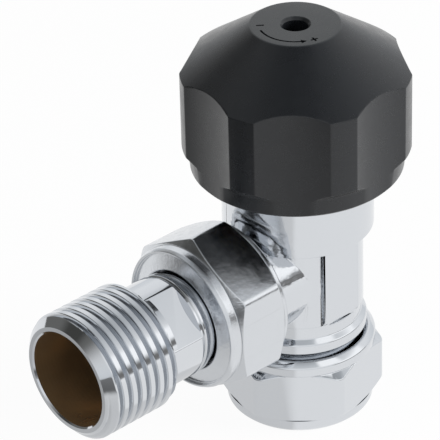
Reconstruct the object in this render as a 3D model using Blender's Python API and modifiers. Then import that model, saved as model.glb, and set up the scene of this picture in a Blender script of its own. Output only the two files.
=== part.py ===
# Angle radiator valve, 15 mm compression by 1/2 inch tail, as a Blender model.
# Metres, +Z up. The valve's axis is the Z axis, and the pipe comes in from below at the origin.
# The tail leaves along -X, at the height of the branch.

import math

import bmesh
import bpy
from mathutils import Matrix

# General
CLEARANCE = 0.0003  # between pieces that touch or run in each other
SEAL_CLEARANCE = 0.00015  # round a sealing ring in its groove
SIDES = 36  # facets round a large turned piece
FINE_SIDES = 24  # facets round a small one
OVERSHOOT = 0.001  # how far a cutter runs past the face that it opens

# Body
BRANCH_HEIGHT = 0.0266  # tail axis above the compression nut's lower face
BARREL_DIAMETER = 0.0210
BARREL_FLATS = 0.0195  # across the two side panels
BARREL_BELOW_BRANCH = 0.0072
COLLAR_DIAMETER = 0.0245
COLLAR_ABOVE_BRANCH = 0.0073
BODY_TOP_ABOVE_BRANCH = 0.0186
BRANCH_DIAMETER = 0.0188
BRANCH_END = 0.0218  # from the valve's axis
SPIGOT_STEP = 0.00035  # the spigot is this much smaller in radius than the barrel
SHOULDER_DIAMETER = 0.0221
SHOULDER_HEIGHT = 0.0022
SHOULDER_TAPER = 0.0009
CHAMBER_DIAMETER = 0.0164
PORT_DIAMETER = 0.0095
WATERWAY_DIAMETER = 0.0120
SEAT_WIDTH = 0.0012
SEAT_RISE = 0.0012
EDGE = 0.0004  # the small bevel on turned edges

# Compression joint
PIPE_DIAMETER = 0.0150
PIPE_CLEARANCE = 0.00015
PIPE_DEPTH = 0.0170  # how far the pipe goes in, from the nut's lower face
COMPRESSION_THREAD = 0.0202
COMPRESSION_NUT_FLATS = 0.0241
COMPRESSION_NUT_HEIGHT = 0.0137
COMPRESSION_NUT_TURN = math.radians(255.1)  # direction of one corner
NUT_COLLAR_HEIGHT = 0.0024
NUT_COLLAR_OVERHANG = 0.00035  # the round collar stands this far out past the flats
NUT_CHAMFER = math.radians(33)
NUT_LIP = 0.0023  # thickness of the nut's lower wall
OLIVE_LENGTH = 0.0058
OLIVE_WALL = 0.0011
OLIVE_END_WALL = 0.0004
OLIVE_TAPER = 0.0015

# Union nut and tail
UNION_THREAD = 0.0204
UNION_NUT_FLATS = 0.0240
UNION_NUT_BACK = 0.0136  # rear face, from the valve's axis
UNION_NUT_LENGTH = 0.0126
UNION_NUT_MOUTH = 0.0169
UNION_COLLAR_DIAMETER = 0.0237
UNION_FRONT_COLLAR = 0.0022  # how far the round collar stands out of the hexagon
UNION_BACK_COLLAR = 0.0011
UNION_LIP = 0.0017
TAIL_REACH = 0.0497  # end of the tail, from the valve's axis
TAIL_THREAD = 0.020955  # 1/2 inch pipe thread
TAIL_PITCH = 0.001814
TAIL_THREAD_DEPTH = 0.00116
TAIL_THREAD_LENGTH = 0.0135
TAIL_LEAD = 0.0014  # length of the tapered start of the thread
TAIL_LEAD_STEP = 0.0016  # how much smaller in radius the tail's end is than the thread
TAIL_BORE = 0.0160
TAIL_BORE_DEPTH = 0.0118
TAIL_SHANK = 0.0171
TAIL_SHANK_END = 0.0287  # inner end of the spanner length, from the valve's axis
TAIL_SPANNER_FLATS = 0.0145
TAIL_FLAT_TURN = math.radians(-44)  # direction of a flat, from upright
TAIL_KEY_FLATS = 0.0118  # the hexagon inside, for a key
TAIL_NOSE = 0.0163
TAIL_NOSE_DEPTH = 0.0026  # how far the nose goes into the branch
SNAP_RING_WIRE = 0.0013
TAIL_RING_WIRE = 0.0012

# Headwork
BONNET_THREAD = 0.0186
BONNET_THREAD_LENGTH = 0.0075
BONNET_SKIRT = 0.0155
BONNET_SKIRT_LENGTH = 0.0045
BONNET_FLANGE = 0.0228
BONNET_FLANGE_HEIGHT = 0.0010
BONNET_FLATS = 0.0190
BONNET_HEX_HEIGHT = 0.0040
BONNET_WASHER_THICKNESS = 0.0006
GLAND_THREAD = 0.0106
GLAND_FLATS = 0.0120
GLAND_HEIGHT = 0.0025
SPINDLE_JOURNAL = 0.0078
SPINDLE_NECK = 0.0062
SPINDLE_SHOULDER = 0.0098
SPINDLE_SHOULDER_HEIGHT = 0.0010
SPINDLE_THREAD = 0.0070
SPINDLE_SQUARE = 0.0048
SPINDLE_SQUARE_HEIGHT = 0.0056
THRUST_WASHER_THICKNESS = 0.0005
O_RING_WIRE = 0.0010
O_RING_SPACING = 0.0030

# Valve plug
PLUG_FLATS = 0.0092
PLUG_LENGTH = 0.0135
PLUG_DISC = 0.0126
PLUG_DISC_HEIGHT = 0.0022
PLUG_LIFT = 0.0033
SEAT_WASHER_THICKNESS = 0.0016
WASHER_PLATE = 0.0072
WASHER_PLATE_THICKNESS = 0.0005
WASHER_SCREW = 0.0024
WASHER_SCREW_HEAD = 0.0052
WASHER_SCREW_HEAD_HEIGHT = 0.0009

# Handwheel
WHEEL_DIAMETER = 0.03668
WHEEL_SCOOP_COUNT = 7
WHEEL_SCOOP = 0.0290  # radius of each hollow grip face
WHEEL_SCOOP_DEPTH = 0.001585  # at the middle of a grip face
WHEEL_TURN = math.radians(223.9)  # direction of one grip face
WHEEL_BOTTOM_ABOVE_BRANCH = 0.0180
WHEEL_HEIGHT = 0.0250
WHEEL_CONE_HEIGHT = 0.0079
WHEEL_CROWN = 0.01432  # diameter of the flat top
WHEEL_RIM_INSET = 0.00104  # of the rim below the grip faces
WHEEL_RIM_TAPER = 0.0002
WHEEL_RIM_HEIGHT = 0.0032
WHEEL_RIM_CHAMFER = 0.0010
WHEEL_WALL = 0.0018
WHEEL_BOSS = 0.0100
WHEEL_WEB = 0.0015
WHEEL_SCREW_HOLE = 0.0040
WHEEL_SCREW = 0.0022
WHEEL_SCREW_HEAD = 0.0034
WHEEL_SCREW_HEAD_HEIGHT = 0.0016
WHEEL_SCREW_LENGTH = 0.0050

# Places worked out from the sizes
branchZ = BRANCH_HEIGHT
barrelBottom = branchZ - BARREL_BELOW_BRANCH
collarBottom = branchZ + COLLAR_ABOVE_BRANCH
bodyTop = branchZ + BODY_TOP_ABOVE_BRANCH
barrelRadius = BARREL_DIAMETER / 2
collarRadius = COLLAR_DIAMETER / 2
chamberRadius = CHAMBER_DIAMETER / 2
waterwayRadius = WATERWAY_DIAMETER / 2
spigotRadius = barrelRadius - SPIGOT_STEP
shoulderBottom = COMPRESSION_NUT_HEIGHT + 2 * CLEARANCE
shoulderTop = shoulderBottom + SHOULDER_HEIGHT
seatHeight = branchZ - waterwayRadius
seatFloor = seatHeight - SEAT_RISE
pipeBore = PIPE_DIAMETER / 2 + PIPE_CLEARANCE

oliveBottom = NUT_LIP + CLEARANCE
oliveTop = oliveBottom + OLIVE_LENGTH
oliveRadius = pipeBore + OLIVE_WALL
oliveEndRadius = pipeBore + OLIVE_END_WALL
mouthBottom = oliveTop - OLIVE_TAPER  # the body's open end

unionThreadRadius = UNION_THREAD / 2
unionNutFront = UNION_NUT_BACK + UNION_NUT_LENGTH
unionLipBack = unionNutFront - UNION_LIP
tailNoseEnd = BRANCH_END - TAIL_NOSE_DEPTH
noseRadius = TAIL_NOSE / 2
noseBore = noseRadius + CLEARANCE

bonnetThreadRadius = BONNET_THREAD / 2
bonnetThreadBottom = bodyTop - BONNET_THREAD_LENGTH
bonnetSkirtBottom = bonnetThreadBottom - BONNET_SKIRT_LENGTH
flangeBottom = bodyTop + 2 * CLEARANCE + BONNET_WASHER_THICKNESS
bonnetHexBottom = flangeBottom + BONNET_FLANGE_HEIGHT
bonnetTop = bonnetHexBottom + BONNET_HEX_HEIGHT
glandBottom = bonnetTop + CLEARANCE
glandTop = glandBottom + GLAND_HEIGHT
journalRadius = SPINDLE_JOURNAL / 2
neckRadius = SPINDLE_NECK / 2
thrustTop = bonnetTop - 2 * CLEARANCE
shoulderFace = thrustTop - THRUST_WASHER_THICKNESS - CLEARANCE
shoulderUnder = shoulderFace - SPINDLE_SHOULDER_HEIGHT
squareBottom = glandTop + CLEARANCE
spindleTop = squareBottom + SPINDLE_SQUARE_HEIGHT

plugBottom = seatHeight + 2 * CLEARANCE + SEAT_WASHER_THICKNESS
plugTop = plugBottom + PLUG_LENGTH
plugDiscTop = plugBottom + PLUG_DISC_HEIGHT
socketTop = plugTop + PLUG_LIFT + 2 * CLEARANCE
spindleBottom = plugDiscTop + PLUG_LIFT + 2 * CLEARANCE
spindleThreadTop = socketTop - CLEARANCE

wheelBottom = branchZ + WHEEL_BOTTOM_ABOVE_BRANCH
wheelTop = wheelBottom + WHEEL_HEIGHT
wheelShoulder = wheelTop - WHEEL_CONE_HEIGHT
wheelRadius = WHEEL_DIAMETER / 2
wheelWaist = wheelRadius - WHEEL_SCOOP_DEPTH
wheelInner = wheelWaist - WHEEL_WALL
webBottom = spindleTop + CLEARANCE
webTop = webBottom + WHEEL_WEB


def clearScene():
    for item in list(bpy.data.objects):
        bpy.data.objects.remove(item, do_unlink=True)


def newCollection(name):
    made = bpy.data.collections.new(name)
    bpy.context.scene.collection.children.link(made)
    return made


def newMaterial(name, colour, metallic, roughness):
    made = bpy.data.materials.new(name)
    made.use_nodes = True
    shader = made.node_tree.nodes["Principled BSDF"]
    shader.inputs["Base Color"].default_value = (*colour, 1)
    shader.inputs["Metallic"].default_value = metallic
    shader.inputs["Roughness"].default_value = roughness
    return made


def newEmpty(name, place, turn=(0, 0, 0)):
    made = bpy.data.objects.new(name, None)
    made.empty_display_size = 0.01
    made.location = place
    made.rotation_euler = turn
    parts.objects.link(made)
    return made


def addObject(name, mesh, axis, finish=None):
    # A piece with no finish is a cutter, or a shape that is only joined to another.
    made = bpy.data.objects.new(name, mesh)
    made.parent = axis
    if finish:
        mesh.materials.append(finish)
        parts.objects.link(made)
    else:
        made.hide_render = True
        made.display_type = "WIRE"
        cutters.objects.link(made)
    return made


def turned(name, profile, axis, finish=None, sides=SIDES):
    # The profile is (radius, height) points, down the outer side and, for a ring, back up the inner one.
    mesh = bpy.data.meshes.new(name)
    points = [(radius, 0, height) for radius, height in profile]
    edges = [(i, i + 1) for i in range(len(points) - 1)]
    if profile[0][0] > 0:
        edges.append((len(points) - 1, 0))
    mesh.from_pydata(points, edges, [])
    made = addObject(name, mesh, axis, finish)
    screw = made.modifiers.new("Turn", "SCREW")
    screw.steps = screw.render_steps = sides
    screw.use_merge_vertices = True
    screw.merge_threshold = 0.000001
    return made


def solidBar(name, sides, acrossFlats, bottom, top, axis, corner, finish=None):
    # A prism whose first corner points at the angle given, measured from the axis's own +X.
    mesh = bpy.data.meshes.new(name)
    shape = bmesh.new()
    radius = acrossFlats / 2 / math.cos(math.pi / sides)
    place = Matrix.Translation((0, 0, (bottom + top) / 2)) @ Matrix.Rotation(corner - math.pi / 2, 4, "Z")
    bmesh.ops.create_cone(
        shape, cap_ends=True, segments=sides, radius1=radius, radius2=radius, depth=top - bottom, matrix=place
    )
    shape.to_mesh(mesh)
    shape.free()
    return addObject(name, mesh, axis, finish)


def box(name, low, high, axis, turn=0):
    mesh = bpy.data.meshes.new(name)
    shape = bmesh.new()
    size = [b - a for a, b in zip(low, high)]
    centre = [(a + b) / 2 for a, b in zip(low, high)]
    place = Matrix.Rotation(turn, 4, "Z") @ Matrix.Translation(centre) @ Matrix.Diagonal((*size, 1))
    bmesh.ops.create_cube(shape, size=1, matrix=place)
    shape.to_mesh(mesh)
    shape.free()
    return addObject(name, mesh, axis)


def combine(piece, other, operation):
    step = piece.modifiers.new(other.name, "BOOLEAN")
    step.operation = operation
    step.solver = "EXACT"
    step.object = other


def cut(piece, *others):
    for other in others:
        combine(piece, other, "DIFFERENCE")


def join(piece, *others):
    for other in others:
        combine(piece, other, "UNION")


def quarter(centreRadius, centreHeight, size, start, steps=3):
    # Points of a quarter round, clockwise from the start angle, as seen with the radius to the right.
    angles = [math.radians(start - 90 * i / steps) for i in range(steps + 1)]
    return [(centreRadius + size * math.cos(a), centreHeight + size * math.sin(a)) for a in angles]


def ringProfile(inner, outer, bottom, top):
    return [(outer, top), (outer, bottom), (inner, bottom), (inner, top)]


def roundRing(inner, bottom, wire, steps=6):
    # The section of a sealing ring, clockwise from its outermost point.
    angles = [-2 * math.pi * i / steps for i in range(steps)]
    size = wire / 2
    return [(inner + size + size * math.cos(a), bottom + size + size * math.sin(a)) for a in angles]


def makeBody():
    shell = turned(
        "valve_body",
        [
            (0, bodyTop),
            (collarRadius - EDGE, bodyTop),
            (collarRadius, bodyTop - EDGE),
            (collarRadius, collarBottom + EDGE),
            (collarRadius - EDGE, collarBottom),
            (barrelRadius, collarBottom),
            (barrelRadius, barrelBottom + EDGE / 2),
            (spigotRadius, barrelBottom),
            (spigotRadius, shoulderTop + SHOULDER_TAPER),
            (SHOULDER_DIAMETER / 2, shoulderTop),
            (SHOULDER_DIAMETER / 2, shoulderBottom),
            (COMPRESSION_THREAD / 2, shoulderBottom),
            (COMPRESSION_THREAD / 2, mouthBottom + EDGE),
            (COMPRESSION_THREAD / 2 - EDGE, mouthBottom),
            (0, mouthBottom),
        ],
        valveAxis,
        chrome,
    )
    branch = turned(
        "branch_shape",
        [
            (0, BRANCH_END),
            (unionThreadRadius - 2 * EDGE, BRANCH_END),
            (unionThreadRadius, BRANCH_END - 2 * EDGE),
            (unionThreadRadius, UNION_NUT_BACK + 2 * EDGE),
            (BRANCH_DIAMETER / 2, UNION_NUT_BACK),
            (BRANCH_DIAMETER / 2, 0),
            (0, 0),
        ],
        tailAxis,
    )
    panels = [
        box(
            "panel_cutter_" + side,
            (-barrelRadius, near, barrelBottom - SPIGOT_STEP),
            (barrelRadius, far, collarBottom),
            valveAxis,
        )
        for side, near, far in (
            ("front", -barrelRadius - OVERSHOOT, -BARREL_FLATS / 2),
            ("back", BARREL_FLATS / 2, barrelRadius + OVERSHOOT),
        )
    ]
    socketRadius = bonnetThreadRadius + CLEARANCE
    inside = turned(
        "body_bore_cutter",
        [
            (0, bodyTop + OVERSHOOT),
            (socketRadius, bodyTop + OVERSHOOT),
            (socketRadius, bonnetThreadBottom - CLEARANCE),
            (chamberRadius, bonnetThreadBottom - CLEARANCE),
            (chamberRadius, seatFloor),
            (PORT_DIAMETER / 2 + SEAT_WIDTH, seatFloor),
            (PORT_DIAMETER / 2 + SEAT_WIDTH, seatHeight),
            (PORT_DIAMETER / 2, seatHeight),
            (PORT_DIAMETER / 2, PIPE_DEPTH + CLEARANCE),
            (pipeBore, PIPE_DEPTH + CLEARANCE),
            (pipeBore, oliveTop + CLEARANCE),
            (oliveEndRadius + CLEARANCE, oliveTop + CLEARANCE),
            (oliveRadius + CLEARANCE, mouthBottom),
            (oliveRadius + CLEARANCE, mouthBottom - OVERSHOOT),
            (0, mouthBottom - OVERSHOOT),
        ],
        valveAxis,
    )
    waterway = turned(
        "branch_bore_cutter",
        [
            (0, BRANCH_END + OVERSHOOT),
            (noseBore, BRANCH_END + OVERSHOOT),
            (noseBore, tailNoseEnd - CLEARANCE),
            (waterwayRadius, tailNoseEnd - CLEARANCE),
            (waterwayRadius, 0),
            (0, 0),
        ],
        tailAxis,
    )
    cut(shell, *panels)
    join(shell, branch)
    cut(shell, inside, waterway)


def nutBlank(name, flats, bottom, top, corner, axis, collars):
    # A hexagon with its corners turned off towards each round collar.
    flatRadius = flats / 2
    reach = flats / 2 / math.cos(math.pi / 6) - flatRadius
    drop = reach * math.tan(NUT_CHAMFER)
    lower, upper = collars
    hexagon = solidBar(name, 6, flats, bottom + lower, top - upper, axis, corner, chrome)
    outer = flatRadius + reach + OVERSHOOT
    extra = OVERSHOOT * math.tan(NUT_CHAMFER)
    turning = turned(
        name + "_turning",
        [
            (0, top - upper + OVERSHOOT),
            (flatRadius, top - upper + OVERSHOOT),
            (flatRadius, top - upper),
            (outer, top - upper - drop - extra),
            (outer, bottom + lower + drop + extra),
            (flatRadius, bottom + lower),
            (flatRadius, bottom + lower - OVERSHOOT),
            (0, bottom + lower - OVERSHOOT),
        ],
        axis,
    )
    combine(hexagon, turning, "INTERSECT")
    return hexagon


def makeCompressionNut():
    nut = nutBlank(
        "compression_nut",
        COMPRESSION_NUT_FLATS,
        0,
        COMPRESSION_NUT_HEIGHT,
        COMPRESSION_NUT_TURN,
        valveAxis,
        (NUT_COLLAR_HEIGHT, NUT_COLLAR_HEIGHT),
    )
    wide = COMPRESSION_NUT_FLATS / 2 + NUT_COLLAR_OVERHANG
    soft = 3 * EDGE
    collars = turned(
        "compression_nut_collars",
        [
            (0, COMPRESSION_NUT_HEIGHT),
            *quarter(wide - soft, COMPRESSION_NUT_HEIGHT - soft, soft, 90),
            (wide, COMPRESSION_NUT_HEIGHT - NUT_COLLAR_HEIGHT),
            (wide - 2 * EDGE, COMPRESSION_NUT_HEIGHT - NUT_COLLAR_HEIGHT - EDGE),
            (wide - 2 * EDGE, NUT_COLLAR_HEIGHT + EDGE),
            (wide - EDGE, NUT_COLLAR_HEIGHT),
            *quarter(wide - EDGE - soft, soft, soft, 0),
            (0, 0),
        ],
        valveAxis,
    )
    threadRadius = COMPRESSION_THREAD / 2 + CLEARANCE
    inside = turned(
        "compression_nut_bore_cutter",
        [
            (0, COMPRESSION_NUT_HEIGHT + OVERSHOOT),
            (threadRadius + 2 * EDGE + OVERSHOOT, COMPRESSION_NUT_HEIGHT + OVERSHOOT),
            (threadRadius, COMPRESSION_NUT_HEIGHT - 2 * EDGE),
            (threadRadius, oliveBottom + OLIVE_TAPER),
            (oliveRadius + CLEARANCE, oliveBottom + OLIVE_TAPER),
            (oliveEndRadius + CLEARANCE, NUT_LIP),
            (pipeBore, NUT_LIP),
            (pipeBore, -OVERSHOOT),
            (0, -OVERSHOOT),
        ],
        valveAxis,
    )
    join(nut, collars)
    cut(nut, inside)


def makeOlive():
    turned(
        "olive",
        [
            (oliveEndRadius, oliveTop),
            (oliveRadius, oliveTop - OLIVE_TAPER),
            (oliveRadius, oliveBottom + OLIVE_TAPER),
            (oliveEndRadius, oliveBottom),
            (pipeBore, oliveBottom),
            (pipeBore, oliveTop),
        ],
        valveAxis,
        brass,
    )


def makeUnionNut():
    nut = nutBlank(
        "union_nut",
        UNION_NUT_FLATS,
        UNION_NUT_BACK,
        unionNutFront,
        0,
        tailAxis,
        (UNION_BACK_COLLAR, UNION_FRONT_COLLAR),
    )
    collarRound = UNION_COLLAR_DIAMETER / 2
    collars = turned(
        "union_nut_collars",
        [
            (0, unionNutFront),
            (collarRound - 1.5 * EDGE, unionNutFront),
            (collarRound, unionNutFront - 2 * EDGE),
            (collarRound, UNION_NUT_BACK + EDGE),
            (collarRound - EDGE, UNION_NUT_BACK),
            (0, UNION_NUT_BACK),
        ],
        tailAxis,
    )
    threadRadius = unionThreadRadius + CLEARANCE
    mouthRadius = UNION_NUT_MOUTH / 2
    inside = turned(
        "union_nut_bore_cutter",
        [
            (0, unionNutFront + OVERSHOOT),
            (mouthRadius + EDGE + OVERSHOOT, unionNutFront + OVERSHOOT),
            (mouthRadius, unionNutFront - EDGE),
            (mouthRadius, unionLipBack),
            (threadRadius, unionLipBack),
            (threadRadius, UNION_NUT_BACK + 2 * EDGE),
            (threadRadius + 2 * EDGE + OVERSHOOT, UNION_NUT_BACK - OVERSHOOT),
            (0, UNION_NUT_BACK - OVERSHOOT),
        ],
        tailAxis,
    )
    join(nut, collars)
    cut(nut, inside)


def threadCrests(first, last, crest, root, pitch):
    # Rings that stand for the thread's turns, from the outer end inwards.
    turns = round((first - last) / pitch)
    points = []
    for i in range(turns):
        start = first - i * pitch
        points += [
            (crest, start),
            (crest, start - 0.25 * pitch),
            (root, start - 0.62 * pitch),
        ]
    return points


def makeTailPiece():
    crest = TAIL_THREAD / 2
    root = crest - TAIL_THREAD_DEPTH
    shank = TAIL_SHANK / 2
    threadEnd = TAIL_REACH - TAIL_THREAD_LENGTH
    snapGroove = noseRadius - SNAP_RING_WIRE / 2
    snapFront = unionLipBack - CLEARANCE
    snapBack = snapFront - SNAP_RING_WIRE
    sealGroove = noseBore - TAIL_RING_WIRE - 2 * SEAL_CLEARANCE
    sealCentre = tailNoseEnd + TAIL_NOSE_DEPTH / 2
    sealHalf = TAIL_RING_WIRE / 2 + SEAL_CLEARANCE
    tail = turned(
        "tail_piece",
        [
            (0, TAIL_REACH),
            (crest - TAIL_LEAD_STEP, TAIL_REACH),
            *threadCrests(TAIL_REACH - TAIL_LEAD, threadEnd, crest, root, TAIL_PITCH),
            (root, threadEnd),
            (shank, threadEnd - EDGE),
            (shank, TAIL_SHANK_END + EDGE),
            (shank - EDGE, TAIL_SHANK_END),
            (noseRadius, TAIL_SHANK_END),
            (noseRadius, snapFront + SEAL_CLEARANCE),
            (snapGroove, snapFront + SEAL_CLEARANCE),
            (snapGroove, snapBack - SEAL_CLEARANCE),
            (noseRadius, snapBack - SEAL_CLEARANCE),
            (noseRadius, sealCentre + sealHalf),
            (sealGroove, sealCentre + sealHalf),
            (sealGroove, sealCentre - sealHalf),
            (noseRadius, sealCentre - sealHalf),
            (noseRadius, tailNoseEnd + EDGE),
            (noseRadius - EDGE, tailNoseEnd),
            (0, tailNoseEnd),
        ],
        tailAxis,
        chrome,
    )
    flats = [
        box(
            "spanner_flat_cutter_" + side,
            (low, -shank, TAIL_SHANK_END - EDGE),
            (high, shank, threadEnd - EDGE),
            tailAxis,
            TAIL_FLAT_TURN,
        )
        for side, low, high in (
            ("upper", TAIL_SPANNER_FLATS / 2, shank + OVERSHOOT),
            ("lower", -shank - OVERSHOOT, -TAIL_SPANNER_FLATS / 2),
        )
    ]
    bore = TAIL_BORE / 2
    boreEnd = TAIL_REACH - TAIL_BORE_DEPTH
    inside = turned(
        "tail_bore_cutter",
        [
            (0, TAIL_REACH + OVERSHOOT),
            (bore + EDGE + OVERSHOOT, TAIL_REACH + OVERSHOOT),
            (bore, TAIL_REACH - EDGE),
            (bore, boreEnd),
            (0, boreEnd),
        ],
        tailAxis,
    )
    keyway = solidBar(
        "tail_key_cutter",
        6,
        TAIL_KEY_FLATS,
        tailNoseEnd - OVERSHOOT,
        boreEnd + OVERSHOOT,
        tailAxis,
        TAIL_FLAT_TURN + math.pi / 6,
    )
    cut(tail, *flats, inside, keyway)
    turned(
        "tail_o_ring",
        roundRing(sealGroove + SEAL_CLEARANCE, sealCentre - TAIL_RING_WIRE / 2, TAIL_RING_WIRE),
        tailAxis,
        rubber,
    )
    makeSnapRing(snapGroove + SEAL_CLEARANCE, snapBack)


def makeSnapRing(inner, bottom):
    # A split ring of round wire: it sits in the tail's groove and takes the union nut's pull.
    outer = unionThreadRadius - CLEARANCE
    ring = turned(
        "snap_ring",
        ringProfile(inner, outer, bottom, bottom + SNAP_RING_WIRE),
        tailAxis,
        springSteel,
        FINE_SIDES,
    )
    gap = SNAP_RING_WIRE
    split = box(
        "snap_ring_split_cutter",
        (0, -gap / 2, bottom - OVERSHOOT),
        (outer + OVERSHOOT, gap / 2, bottom + SNAP_RING_WIRE + OVERSHOOT),
        tailAxis,
        math.pi,
    )
    cut(ring, split)


def makeBonnet():
    boreRadius = journalRadius + CLEARANCE
    recessRadius = GLAND_THREAD / 2 + CLEARANCE
    bonnet = turned(
        "bonnet",
        [
            (0, bonnetHexBottom),
            (BONNET_FLANGE / 2, bonnetHexBottom),
            (BONNET_FLANGE / 2, flangeBottom),
            (bonnetThreadRadius, flangeBottom),
            (bonnetThreadRadius, bonnetThreadBottom),
            (BONNET_SKIRT / 2, bonnetThreadBottom),
            (BONNET_SKIRT / 2, bonnetSkirtBottom),
            (0, bonnetSkirtBottom),
        ],
        valveAxis,
        brass,
    )
    hexagon = solidBar(
        "bonnet_hexagon", 6, BONNET_FLATS, flangeBottom, bonnetTop, valveAxis, math.radians(10)
    )
    inside = turned(
        "bonnet_bore_cutter",
        [
            (0, bonnetTop + OVERSHOOT),
            (recessRadius, bonnetTop + OVERSHOOT),
            (recessRadius, shoulderUnder - CLEARANCE),
            (boreRadius, shoulderUnder - CLEARANCE),
            (boreRadius, socketTop - OVERSHOOT),
            (0, socketTop - OVERSHOOT),
        ],
        valveAxis,
        sides=FINE_SIDES,
    )
    guide = solidBar(
        "bonnet_guide_cutter",
        6,
        PLUG_FLATS + 2 * CLEARANCE,
        bonnetSkirtBottom - OVERSHOOT,
        socketTop,
        valveAxis,
        0,
    )
    join(bonnet, hexagon)
    cut(bonnet, inside, guide)
    turned(
        "bonnet_washer",
        ringProfile(
            bonnetThreadRadius + CLEARANCE,
            BONNET_FLANGE / 2,
            bodyTop + CLEARANCE,
            bodyTop + CLEARANCE + BONNET_WASHER_THICKNESS,
        ),
        valveAxis,
        fibre,
    )


def makeGland():
    gland = solidBar("gland_nut", 6, GLAND_FLATS, glandBottom, glandTop, valveAxis, 0, brass)
    stem = turned(
        "gland_stem",
        [
            (0, glandBottom + CLEARANCE),
            (GLAND_THREAD / 2, glandBottom + CLEARANCE),
            (GLAND_THREAD / 2, thrustTop + CLEARANCE),
            (0, thrustTop + CLEARANCE),
        ],
        valveAxis,
        sides=FINE_SIDES,
    )
    hole = turned(
        "gland_bore_cutter",
        [
            (0, glandTop + OVERSHOOT),
            (neckRadius + CLEARANCE, glandTop + OVERSHOOT),
            (neckRadius + CLEARANCE, thrustTop - OVERSHOOT),
            (0, thrustTop - OVERSHOOT),
        ],
        valveAxis,
        sides=FINE_SIDES,
    )
    join(gland, stem)
    cut(gland, hole)
    turned(
        "thrust_washer",
        ringProfile(
            neckRadius + CLEARANCE,
            SPINDLE_SHOULDER / 2,
            thrustTop - THRUST_WASHER_THICKNESS,
            thrustTop,
        ),
        valveAxis,
        plastic,
        FINE_SIDES,
    )


def makeSpindle():
    groove = journalRadius + CLEARANCE - O_RING_WIRE - 2 * SEAL_CLEARANCE
    half = O_RING_WIRE / 2 + SEAL_CLEARANCE
    middle = (socketTop + shoulderUnder) / 2
    seals = {
        "spindle_o_ring_upper": middle + O_RING_SPACING / 2,
        "spindle_o_ring_lower": middle - O_RING_SPACING / 2,
    }
    grooves = []
    for height in seals.values():
        grooves += [
            (journalRadius, height + half),
            (groove, height + half),
            (groove, height - half),
            (journalRadius, height - half),
        ]
    threadRadius = SPINDLE_THREAD / 2
    spindle = turned(
        "spindle",
        [
            (0, squareBottom),
            (neckRadius, squareBottom),
            (neckRadius, shoulderFace),
            (SPINDLE_SHOULDER / 2, shoulderFace),
            (SPINDLE_SHOULDER / 2, shoulderUnder),
            (journalRadius, shoulderUnder),
            *grooves,
            (journalRadius, spindleThreadTop),
            (threadRadius, spindleThreadTop),
            (threadRadius, spindleBottom + EDGE),
            (threadRadius - EDGE, spindleBottom),
            (0, spindleBottom),
        ],
        valveAxis,
        brass,
        FINE_SIDES,
    )
    square = solidBar(
        "spindle_square",
        4,
        SPINDLE_SQUARE,
        squareBottom - CLEARANCE,
        spindleTop,
        valveAxis,
        WHEEL_TURN + math.pi / 4,
    )
    tapped = turned(
        "spindle_hole_cutter",
        [
            (0, spindleTop + OVERSHOOT),
            (WHEEL_SCREW / 2 + CLEARANCE, spindleTop + OVERSHOOT),
            (WHEEL_SCREW / 2 + CLEARANCE, webTop - WHEEL_SCREW_LENGTH - CLEARANCE),
            (0, webTop - WHEEL_SCREW_LENGTH - CLEARANCE),
        ],
        valveAxis,
        sides=FINE_SIDES,
    )
    join(spindle, square)
    cut(spindle, tapped)
    for name, height in seals.items():
        ring = roundRing(groove + SEAL_CLEARANCE, height - O_RING_WIRE / 2, O_RING_WIRE)
        turned(name, ring, valveAxis, rubber, FINE_SIDES)


def makePlug():
    plug = solidBar("valve_plug", 6, PLUG_FLATS, plugBottom + EDGE, plugTop, valveAxis, 0, brass)
    disc = turned(
        "plug_disc",
        [
            (0, plugDiscTop),
            (PLUG_DISC / 2 - EDGE, plugDiscTop),
            (PLUG_DISC / 2, plugDiscTop - EDGE),
            (PLUG_DISC / 2, plugBottom),
            (0, plugBottom),
        ],
        valveAxis,
        sides=FINE_SIDES,
    )
    inside = turned(
        "plug_bore_cutter",
        [
            (0, plugTop + OVERSHOOT),
            (SPINDLE_THREAD / 2 + CLEARANCE, plugTop + OVERSHOOT),
            (SPINDLE_THREAD / 2 + CLEARANCE, plugDiscTop),
            (WASHER_SCREW / 2 + CLEARANCE, plugDiscTop),
            (WASHER_SCREW / 2 + CLEARANCE, plugBottom - OVERSHOOT),
            (0, plugBottom - OVERSHOOT),
        ],
        valveAxis,
        sides=FINE_SIDES,
    )
    join(plug, disc)
    cut(plug, inside)
    washerBottom = seatHeight + CLEARANCE
    turned(
        "seat_washer",
        ringProfile(
            WASHER_SCREW / 2 + CLEARANCE,
            PLUG_DISC / 2,
            washerBottom,
            washerBottom + SEAT_WASHER_THICKNESS,
        ),
        valveAxis,
        rubber,
        FINE_SIDES,
    )
    plateTop = washerBottom - CLEARANCE
    plateBottom = plateTop - WASHER_PLATE_THICKNESS
    turned(
        "washer_plate",
        ringProfile(WASHER_SCREW / 2 + CLEARANCE, WASHER_PLATE / 2, plateBottom, plateTop),
        valveAxis,
        brass,
        FINE_SIDES,
    )
    headTop = plateBottom - CLEARANCE
    headBottom = headTop - WASHER_SCREW_HEAD_HEIGHT
    screw = turned(
        "washer_screw",
        [
            (0, plugDiscTop - EDGE),
            (WASHER_SCREW / 2, plugDiscTop - EDGE),
            (WASHER_SCREW / 2, headTop),
            (WASHER_SCREW_HEAD / 2, headTop),
            (WASHER_SCREW_HEAD / 2, headBottom + EDGE / 2),
            (WASHER_SCREW_HEAD / 2 - EDGE, headBottom),
            (0, headBottom),
        ],
        valveAxis,
        brass,
        FINE_SIDES,
    )
    slot = box(
        "washer_screw_slot_cutter",
        (-WASHER_SCREW_HEAD, -EDGE, headBottom - OVERSHOOT),
        (WASHER_SCREW_HEAD, EDGE, headBottom + EDGE),
        valveAxis,
    )
    cut(screw, slot)


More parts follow.
